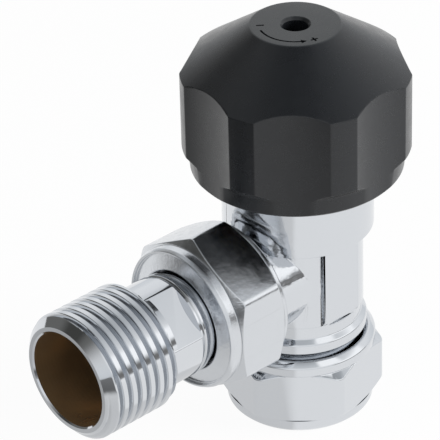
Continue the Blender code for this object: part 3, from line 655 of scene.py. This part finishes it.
def makeUnionNut(s):
    half = s["flats"] / 2
    corner = half / math.cos(math.pi / 6)
    nut = addPrism(
        "unionHexNut", 6, s["flats"], s["back"] + s["backCollar"], s["front"] - s["frontCollar"], 0, s["cornerRound"]
    )
    turning = spinProfile(
        "nutTurning",
        [
            (0, s["front"] + 1),
            (half, s["front"] + 1),
            (half, s["front"] - s["frontCollar"]),
            (corner, s["ridgeFront"]),
            (corner + 1, s["ridgeFront"] - 1),
            (corner + 1, s["ridgeBack"] + 1),
            (corner, s["ridgeBack"]),
            (half, s["back"] + s["backCollar"]),
            (half, s["back"] - 1),
            (0, s["back"] - 1),
        ],
        180,
    )
    crownFlats(nut, s)
    combine(nut, turning, "INTERSECT")
    ringStart = s["collarRadius"] - s["ringWidth"]
    collars = spinProfile(
        "nutCollars",
        [
            (0, s["front"]),
            (s["mouthRadius"] + 0.1, s["front"]),
            (ringStart, s["front"] - s["frontCone"]),
            (ringStart + 0.1, s["front"] - 0.25),
            (ringStart + 0.45, s["front"] - 0.25, 0.12),
            (s["collarRadius"], s["front"] - 0.85, 0.4),
            (s["collarRadius"], s["back"] + 0.4, 0.15),
            (s["collarRadius"] - 0.4, s["back"], 0.15),
            (0, s["back"]),
        ],
        180,
    )
    combine(nut, collars, "UNION")
    lipBack = s["front"] - s["lip"]
    inside = spinProfile(
        "nutBore",
        [
            (0, s["front"] + 1),
            (s["mouthRadius"] + 1.15, s["front"] + 1),
            (s["mouthRadius"], s["front"] - 0.2),
            (s["mouthRadius"], lipBack),
            (s["threadRadius"], lipBack),
            (s["threadRadius"], s["back"] + 0.8),
            (s["threadRadius"] + 1.6, s["back"] - 0.8),
            (0, s["back"] - 0.8),
        ],
        120,
    )
    combine(nut, inside, "DIFFERENCE")
    tidyMesh(nut)
    roundEdges(nut, s["edge"])
    smoothFaces(nut)
    layAlongTail(nut)
    return finishPiece(nut, "union_nut", "chrome_plate", finishes["tumbledChrome"], "union_nut")


makeCompressionNut(compressionNut)
makeUnionNut(unionNut)
print("nuts made")


# Tail: a true screw thread outside, a bare brass bore inside

tail = {
    "reach": 49.7,
    "crest": 10.48,
    "root": 9.32,
    "pitch": 1.814,
    "threadEnd": 35.6,
    "crestAt": 36.2,  # a crest passes here on the upper side
    "runOut": 0.55,
    "endRadius": 8.9,
    "lead": 1.4,
    "shank": 8.55,
    "flatStart": 28.7,
    "flatEnd": 34.0,
    "flatReach": 7.25,
    "flatTurn": -44.0,  # direction of a spanner flat, from upright
    "boreRadius": 7.96,
    "boreBottom": 37.9,
    "keyFlats": 11.8,
    "columns": 216,
    "rowsPerTurn": 18,
}


def threadRadius(s, share, along):
    # The Whitworth form has round crests and roots; it fades out at both ends.
    depth = s["crest"] - s["root"]
    turn = (along - s["crestAt"]) / s["pitch"] - share
    wave = abs((turn % 1) * 2 - 1)
    ramp = min(1, max(0, (wave - 0.08) / 0.48))
    radius = s["root"] + depth * ramp * ramp * (3 - 2 * ramp)
    fromEnd = s["reach"] - along
    radius = min(radius, s["endRadius"] + (s["crest"] - s["endRadius"]) * fromEnd / s["lead"])
    runOut = (along - s["threadEnd"]) / s["runOut"]
    if runOut < 1:
        radius = s["shank"] + (radius - s["shank"]) * max(0, runOut)
    return radius


def makeThread(s):
    # A grid that follows the helix, clamped at both ends of the thread
    columns, rows = s["columns"], s["rowsPerTurn"]
    count = int((s["reach"] - s["threadEnd"]) / s["pitch"] + 2) * rows
    shape = bmesh.new()
    grid = []
    for j in range(count + 1):
        line = []
        for i in range(columns + 1):
            along = s["threadEnd"] + (j / rows + i / columns - 1) * s["pitch"]
            along = min(max(along, s["threadEnd"]), s["reach"])
            radius = threadRadius(s, i / columns, along)
            angle = 2 * math.pi * i / columns
            line.append(shape.verts.new((radius * math.cos(angle) * mm, radius * math.sin(angle) * mm, along * mm)))
        grid.append(line)
    for low, high in zip(grid, grid[1:]):
        for i in range(columns):
            shape.faces.new((low[i], low[i + 1], high[i + 1], high[i]))
    # The last column of a row meets the first column of the row one turn on.
    bmesh.ops.remove_doubles(shape, verts=shape.verts, dist=0.002 * mm)
    bmesh.ops.dissolve_degenerate(shape, edges=shape.edges, dist=0.002 * mm)
    for end in (s["threadEnd"], s["reach"]):
        rim = [e for e in shape.edges if e.is_boundary and all(abs(v.co.z - end * mm) < 0.01 * mm for v in e.verts)]
        bmesh.ops.edgeloop_fill(shape, edges=rim)
    bmesh.ops.recalc_face_normals(shape, faces=shape.faces)
    mesh = bpy.data.meshes.new("threadedTail")
    shape.to_mesh(mesh)
    shape.free()
    piece = bpy.data.objects.new("threadedTail", mesh)
    bpy.context.scene.collection.objects.link(piece)
    return piece


def makeTail(s):
    thread = makeThread(s)
    shank = spinProfile(
        "tailShank",
        [
            (0, s["threadEnd"] + 0.4),
            (s["shank"], s["threadEnd"] + 0.4),
            (s["shank"], s["flatStart"] + 0.2, 0.2),
            (s["shank"] - 0.35, s["flatStart"]),
            (s["shank"] - 0.35, s["flatStart"] - 0.35),
            (s["shank"] - 0.1, s["flatStart"] - 0.55, 0.15),
            (s["shank"] - 0.1, 27.2, 0.15),
            (s["shank"] - 0.4, 26.9),
            (8.15, 26.6),
            (8.15, 24.2),
            (7.5, 24.2),
            (7.5, 22.6),
            (8.15, 22.6),
            (8.15, 21.3),
            (7.4, 21.3),
            (7.4, 20.2),
            (8.15, 20.2),
            (8.15, 19.6),
            (7.75, 19.2),
            (0, 19.2),
        ],
        120,
    )
    for side in (0, 180):
        flat = addBlock("flatCutter", (s["flatReach"], -12, s["flatStart"] - 0.01), (12, 12, s["flatEnd"]))
        combine(shank, place(flat, turn=(0, 0, s["flatTurn"] + side)), "DIFFERENCE")
    combine(thread, shank, "UNION")
    bore = spinProfile(
        "boreCutter",
        [
            (0, s["reach"] + 1),
            (s["boreRadius"] + 1.25, s["reach"] + 1),
            (s["boreRadius"], s["reach"] - 0.25),
            (s["boreRadius"], s["boreBottom"] + 0.6),
            (s["boreRadius"] - 1.2, s["boreBottom"]),
            (0, s["boreBottom"]),
        ],
        144,
    )
    key = addPrism("keyCutter", 6, s["keyFlats"], 18, 42, 0, 0.4)
    throat = spinProfile("throatCutter", [(0, 42), (6.3, 42), (6.3, 36.5), (5.5, 35.5), (5.5, 18), (0, 18)], 96)
    combine(thread, bore, "DIFFERENCE")
    combine(thread, key, "DIFFERENCE")
    combine(thread, throat, "DIFFERENCE")
    tidyMesh(thread, 0.002)
    smoothFaces(thread, 40)
    # The bore's faces look inwards, or out from its floor, and are bare brass.
    thread.data.materials.clear()
    thread.data.materials.append(finishes["polishedChrome"])
    thread.data.materials.append(finishes["turnedBrass"])
    for face in thread.data.polygons:
        centre = face.center
        radius = math.hypot(centre.x, centre.y)
        facing = (centre.x * face.normal.x + centre.y * face.normal.y) / max(radius, 0.01 * mm)
        floorFace = s["boreBottom"] - 3 < centre.z / mm < s["boreBottom"] + 1 and face.normal.z > 0.3
        bare = radius < (s["boreRadius"] + 0.02) * mm and (facing < -0.3 or floorFace)
        face.material_index = 1 if bare else 0
    layAlongTail(thread)
    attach(thread, "tail")
    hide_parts("tail_piece")
    return thread


makeTail(tail)
print("tail made")


# Body: collar, barrel with two flat panels, branch, neck

body = {
    "top": 45.2,
    "collarRadius": 12.25,
    "collarBottom": 33.9,
    "barrelRadius": 10.5,
    "panelReach": 9.75,
    "barrelBottom": 19.4,
    "spigotRadius": 10.15,
    "shoulderRadius": 11.05,
    "shoulderBottom": 14.3,
    "shoulderTop": 16.5,
    "nutThreadRadius": 10.1,
    "mouth": 6.9,
    "branchRadius": 8.8,
    "flareRadius": 9.62,
    "flareFrom": 5.9,
    "flareTo": 4.5,
    "branchEnd": 21.8,
    "branchThreadRadius": 10.2,
    "branchThreadStart": 13.6,
    "panelLine": (-4.3, -3.6, 8.8),  # a thin groove down each panel's edge: from, to, reach
    "edge": 0.14,
}


def makeBody(s):
    outer = spinProfile(
        "valveForging",
        [
            (0, s["top"]),
            (s["collarRadius"] - 0.4, s["top"], 0.15),
            (s["collarRadius"], s["top"] - 0.4, 0.15),
            (s["collarRadius"], s["collarBottom"], 0.18),
            (s["barrelRadius"], s["collarBottom"] - 0.1, 0.25),
            (s["barrelRadius"], s["barrelBottom"], 0.12),
            (s["spigotRadius"], s["barrelBottom"], 0.06),
            (s["spigotRadius"], s["shoulderTop"] + 0.7, 0.4),
            (s["shoulderRadius"], s["shoulderTop"] - 0.1, 0.6),
            (s["shoulderRadius"], s["shoulderBottom"] + 0.5, 0.5),
            (s["shoulderRadius"] - 0.5, s["shoulderBottom"], 0.1),
            (s["nutThreadRadius"], s["shoulderBottom"]),
            (s["nutThreadRadius"], s["mouth"] + 0.4),
            (s["nutThreadRadius"] - 0.4, s["mouth"]),
            (0, s["mouth"]),
        ],
        160,
    )
    for side in (-1, 1):
        low, high = sorted((side * s["panelReach"], side * 12))
        panel = addBlock("panelCutter", (-11, low, s["barrelBottom"] - 0.3), (11, high, s["collarBottom"] - 0.12))
        combine(outer, panel, "DIFFERENCE")
    branch = spinProfile(
        "branchShape",
        [
            (0, s["branchEnd"]),
            (s["branchThreadRadius"] - 0.8, s["branchEnd"]),
            (s["branchThreadRadius"], s["branchEnd"] - 0.8),
            (s["branchThreadRadius"], s["branchThreadStart"] + 0.8),
            (s["branchRadius"], s["branchThreadStart"]),
            (s["branchRadius"], s["flareFrom"], 2.6),
            (s["flareRadius"], s["flareTo"]),
            (s["flareRadius"], 0),
            (0, 0),
        ],
        160,
    )
    combine(outer, layAlongTail(branch), "UNION")
    first, last, reach = s["panelLine"]
    for side in (-1, 1):
        low, high = sorted((side * reach, side * 12))
        groove = addBlock("panelGroove", (first, low, s["barrelBottom"] + 0.3), (last, high, s["collarBottom"] - 0.3))
        combine(outer, groove, "DIFFERENCE")
    inside = spinProfile(
        "bodyBore",
        [
            (0, s["top"] + 1), (9.6, s["top"] + 1), (9.6, 37.4), (8.2, 37.4), (8.2, 19.4), (5.95, 19.4), (5.95, 20.6),
            (4.75, 20.6), (4.75, 17.3), (7.65, 17.3), (7.65, 8.7), (8.35, 8.7), (9.05, s["mouth"]), (9.05, s["mouth"] - 1),
            (0, s["mouth"] - 1),
        ],
        120,
    )
    combine(outer, inside, "DIFFERENCE")
    waterway = spinProfile("branchBore", [(0, 23), (8.45, 23), (8.45, 18.9), (6.0, 18.9), (6.0, 0), (0, 0)], 96)
    combine(outer, layAlongTail(waterway), "DIFFERENCE")
    tidyMesh(outer)
    roundEdges(outer, s["edge"])
    smoothFaces(outer)
    return finishPiece(outer, "body", "chrome_plate", finishes["forgedChrome"], "valve_body")


makeBody(body)
print("body made")


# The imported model's own pieces keep their shape and get a finish.
nodeFinish = {
    "machinedBrass": ["olive", "bonnet", "gland_nut", "spindle", "valve_plug", "washer_plate", "washer_screw"],
    "springSteel": ["snap_ring", "handwheel_screw"],
    "nitrileRubber": ["tail_o_ring", "spindle_o_ring_upper", "spindle_o_ring_lower", "seat_washer"],
    "redFibre": ["bonnet_washer"],
    "whitePlastic": ["thrust_washer"],
}
for finishName, nodeNames in nodeFinish.items():
    for nodeName in nodeNames:
        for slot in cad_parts[nodeName].material_slots:
            slot.material = finishes[finishName]
print("inner pieces finished")


# Floor, light and camera

stage = {
    "floorSize": 4.0,
    "white": "#FFFFFF",
    "keyPower": 5.6,
    "fillPower": 0.9,
}


def makeFloor(s):
    bpy.ops.object.select_all(action="DESELECT")
    bpy.ops.mesh.primitive_plane_add(size=s["floorSize"])
    floor = bpy.context.object
    floor.name = "paleFloor"
    made = bpy.data.materials.new("pale_paper")
    made.use_nodes = True
    tree = made.node_tree
    tree.nodes.clear()
    paper = addNode(tree, "ShaderNodeBsdfDiffuse", None, {"Color": colour("#F4F4F4")})
    rays = addNode(tree, "ShaderNodeLightPath")
    coords = addNode(tree, "ShaderNodeTexCoord").outputs["Object"]
    # Painted shadow: as the metal mirrors it, the floor is darkened round a point about 105 mm out along -X.
    shade = addNode(tree, "ShaderNodeVectorMath", {"operation": "DISTANCE"}, {0: coords, 1: Vector((-0.105, 0.022, 0))})
    level = addNode(
        tree,
        "ShaderNodeMapRange",
        {"interpolation_type": "SMOOTHSTEP"},
        {"Value": shade.outputs["Value"], "From Min": 0.01, "From Max": 0.07, "To Min": 0.45, "To Max": 1.0},
    )
    # Painted shade on the floor as the metal mirrors it: far out to the left the floor is darkened, as if in shadow.
    turned = addNode(
        tree, "ShaderNodeVectorRotate", {"rotation_type": "Z_AXIS"}, {"Vector": coords, "Angle": math.radians(-176)}
    )
    parts = addNode(tree, "ShaderNodeSeparateXYZ", None, {0: turned.outputs[0]})
    across = addNode(tree, "ShaderNodeMath", {"operation": "ARCTAN2"}, {0: parts.outputs["Y"], 1: parts.outputs["X"]})
    size = addNode(tree, "ShaderNodeMath", {"operation": "ABSOLUTE"}, {0: across.outputs[0]})
    beside = addNode(
        tree,
        "ShaderNodeMapRange",
        {"interpolation_type": "SMOOTHSTEP"},
        {"Value": size.outputs[0], "From Min": 0.5, "From Max": 0.85, "To Min": 0.0, "To Max": 1.0},
    )
    near = addNode(
        tree,
        "ShaderNodeMapRange",
        {"interpolation_type": "SMOOTHSTEP"},
        {"Value": parts.outputs["X"], "From Min": 0.095, "From Max": 0.13, "To Min": 0.75, "To Max": 0.0},
    )
    lit = addNode(tree, "ShaderNodeMath", {"operation": "MAXIMUM"}, {0: beside.outputs[0], 1: near.outputs[0]})
    shown = addNode(tree, "ShaderNodeMapRange", None, {"Value": lit.outputs[0], "To Min": 0.1, "To Max": 1.0})
    level = addNode(tree, "ShaderNodeMath", {"operation": "MULTIPLY"}, {0: level.outputs[0], 1: shown.outputs[0]})
    whole = addNode(tree, "ShaderNodeMath", {"operation": "MAXIMUM"}, {0: level.outputs[0], 1: rays.outputs["Is Camera Ray"]})
    glow = addNode(tree, "ShaderNodeEmission", None, {"Color": colour(s["white"]), "Strength": whole.outputs[0]})
    seen = addNode(tree, "ShaderNodeMath", {"operation": "MULTIPLY"}, {0: rays.outputs["Is Camera Ray"], 1: 0.95})
    mirrored = addNode(tree, "ShaderNodeMath", {"operation": "MULTIPLY"}, {0: rays.outputs["Is Glossy Ray"], 1: 0.92})
    part = addNode(tree, "ShaderNodeMath", {"operation": "MAXIMUM"}, {0: seen.outputs[0], 1: mirrored.outputs[0]})
    mixed = addNode(tree, "ShaderNodeMixShader", None, {0: part.outputs[0], 1: paper.outputs[0], 2: glow.outputs[0]})
    addNode(tree, "ShaderNodeOutputMaterial", None, {"Surface": mixed.outputs[0]})
    floor.data.materials.append(made)
    return floor


# What the metal mirrors: each card is (azimuth, elevation, half width, half height, soft edge, colour, level).
cards = {
    "darkSide": (138, 14, 52, 34, 36, "#6C6C6A", 1.0),
    "darkCore": (148, 30, 18, 20, 18, "#454543", 1.0),
    "softbox": (308, 24, 24, 10, 10, "#FFFFFF", 1.2),
    "horizonGap": (304, 4.5, 30, 6, 9, "#7C7B7A", 1.0),
    "frontLamp": (278, 47, 18, 12, 10, "#FFFFFF", 1.15),
}


def addCard(tree, way, below, card):
    # The card's own axes turn the direction into an angle across it and an angle up it.
    azimuth, elevation, wide, tall, soft, code, level = card
    turned = addNode(
        tree,
        "ShaderNodeVectorRotate",
        {"rotation_type": "Z_AXIS"},
        {"Vector": way, "Angle": math.radians(-azimuth)},
    )
    parts = addNode(tree, "ShaderNodeSeparateXYZ", None, {0: turned.outputs[0]})
    across = addNode(tree, "ShaderNodeMath", {"operation": "ARCTAN2"}, {0: parts.outputs["Y"], 1: parts.outputs["X"]})
    upward = addNode(tree, "ShaderNodeMath", {"operation": "ARCSINE"}, {0: parts.outputs["Z"]})
    offset = addNode(tree, "ShaderNodeMath", {"operation": "SUBTRACT"}, {0: upward.outputs[0], 1: math.radians(elevation)})
    covers = []
    for angle, half in ((across, wide), (offset, tall)):
        size = addNode(tree, "ShaderNodeMath", {"operation": "ABSOLUTE"}, {0: angle.outputs[0]})
        covers.append(addNode(
            tree,
            "ShaderNodeMapRange",
            {"interpolation_type": "SMOOTHSTEP"},
            {
                "Value": size.outputs[0],
                "From Min": math.radians(half - soft / 2),
                "From Max": math.radians(half + soft / 2),
                "To Min": 1.0,
                "To Max": 0.0,
            },
        ))
    cover = addNode(tree, "ShaderNodeMath", {"operation": "MULTIPLY"}, {0: covers[0].outputs[0], 1: covers[1].outputs[0]})
    mixed = addNode(tree, "ShaderNodeMix", {"data_type": "RGBA"}, {"Factor": cover.outputs[0]})
    tree.links.new(below, mixed.inputs[6])
    mixed.inputs[7].default_value = [value * level for value in colour(code)]
    return mixed.outputs[2]


def makeWorld():
    world = bpy.data.worlds.new("studio")
    bpy.context.scene.world = world
    world.use_nodes = True
    tree = world.node_tree
    tree.nodes.clear()
    way = addNode(tree, "ShaderNodeTexCoord").outputs["Generated"]
    height = addNode(tree, "ShaderNodeSeparateXYZ", None, {0: way}).outputs["Z"]
    # The white room by height, grey towards the ceiling
    bands = addNode(tree, "ShaderNodeValToRGB", None, {"Fac": height})
    ramp = bands.color_ramp
    stops = [
        (0.0, "#DDE0E3"), (0.2, "#E8EAEC"), (0.35, "#F4F5F6"), (0.6, "#F0F1F2"), (0.8, "#CDD0D3"), (0.92, "#9A9DA0"),
        (1.0, "#4A4B4D"),
    ]
    while len(ramp.elements) < len(stops):
        ramp.elements.new(1.0)
    for element, (at, code) in zip(ramp.elements, stops):
        element.position = at
        element.color = colour(code)
    room = bands.outputs["Color"]
    for card in cards.values():
        room = addCard(tree, way, room, card)
    seen = addNode(tree, "ShaderNodeBackground", None, {"Color": room, "Strength": 1.08})
    white = addNode(tree, "ShaderNodeBackground", None, {"Color": colour("#FFFFFF"), "Strength": 1.0})
    soft = addNode(tree, "ShaderNodeBackground", None, {"Color": colour("#E6E8EA"), "Strength": 0.5})
    rays = addNode(tree, "ShaderNodeLightPath")
    first = addNode(tree, "ShaderNodeMixShader", None, {0: rays.outputs["Is Glossy Ray"], 1: soft.outputs[0], 2: seen.outputs[0]})
    last = addNode(tree, "ShaderNodeMixShader", None, {0: rays.outputs["Is Camera Ray"], 1: first.outputs[0], 2: white.outputs[0]})
    addNode(tree, "ShaderNodeOutputWorld", None, {"Surface": last.outputs[0]})


def softLight(name, azimuth, elevation, distance, size, power):
    # Lights are placed round the valve by direction, in degrees, and look at its middle.
    target = Vector((0, 0, 0.03))
    a, e = math.radians(azimuth), math.radians(elevation)
    way = Vector((math.cos(e) * math.cos(a), math.cos(e) * math.sin(a), math.sin(e)))
    data = bpy.data.lights.new(name, "AREA")
    data.shape = "RECTANGLE"
    data.size, data.size_y = size
    data.energy = power
    lamp = bpy.data.objects.new(name, data)
    lamp.location = target + way * distance
    lamp.rotation_euler = way.to_track_quat("Z", "Y").to_euler()
    lamp.visible_glossy = False  # the cards are what the metal mirrors
    bpy.context.scene.collection.objects.link(lamp)
    return lamp


def makeCamera():
    data = bpy.data.cameras.new("photoCamera")
    data.sensor_width = 36
    data.lens = 3443.462 / 440 * 36
    data.shift_x = (220 - 263.846) / 440
    data.shift_y = (220.034 - 220) / 440
    data.clip_start, data.clip_end = 0.01, 10
    right = Vector((0.72262364, -0.69104123, -0.01664621))
    up = Vector((0.37819076, 0.37508808, 0.84633367))
    back = Vector((-0.57860767, -0.61787616, 0.53239292))
    view = bpy.data.objects.new("photoCamera", data)
    turn = Matrix((right, up, back)).transposed().to_4x4()
    view.matrix_world = Matrix.Translation((-0.32476634, -0.33876467, 0.32880173)) @ turn
    bpy.context.scene.collection.objects.link(view)
    bpy.context.scene.camera = view
    bpy.context.scene.view_settings.view_transform = "Standard"


makeFloor(stage)
makeWorld()
softLight("keyLight", 310, 22, 0.7, (0.5, 0.24), stage["keyPower"])
softLight("fillLight", 170, 45, 0.8, (0.6, 0.4), stage["fillPower"])
makeCamera()
print("floor, light and camera set")
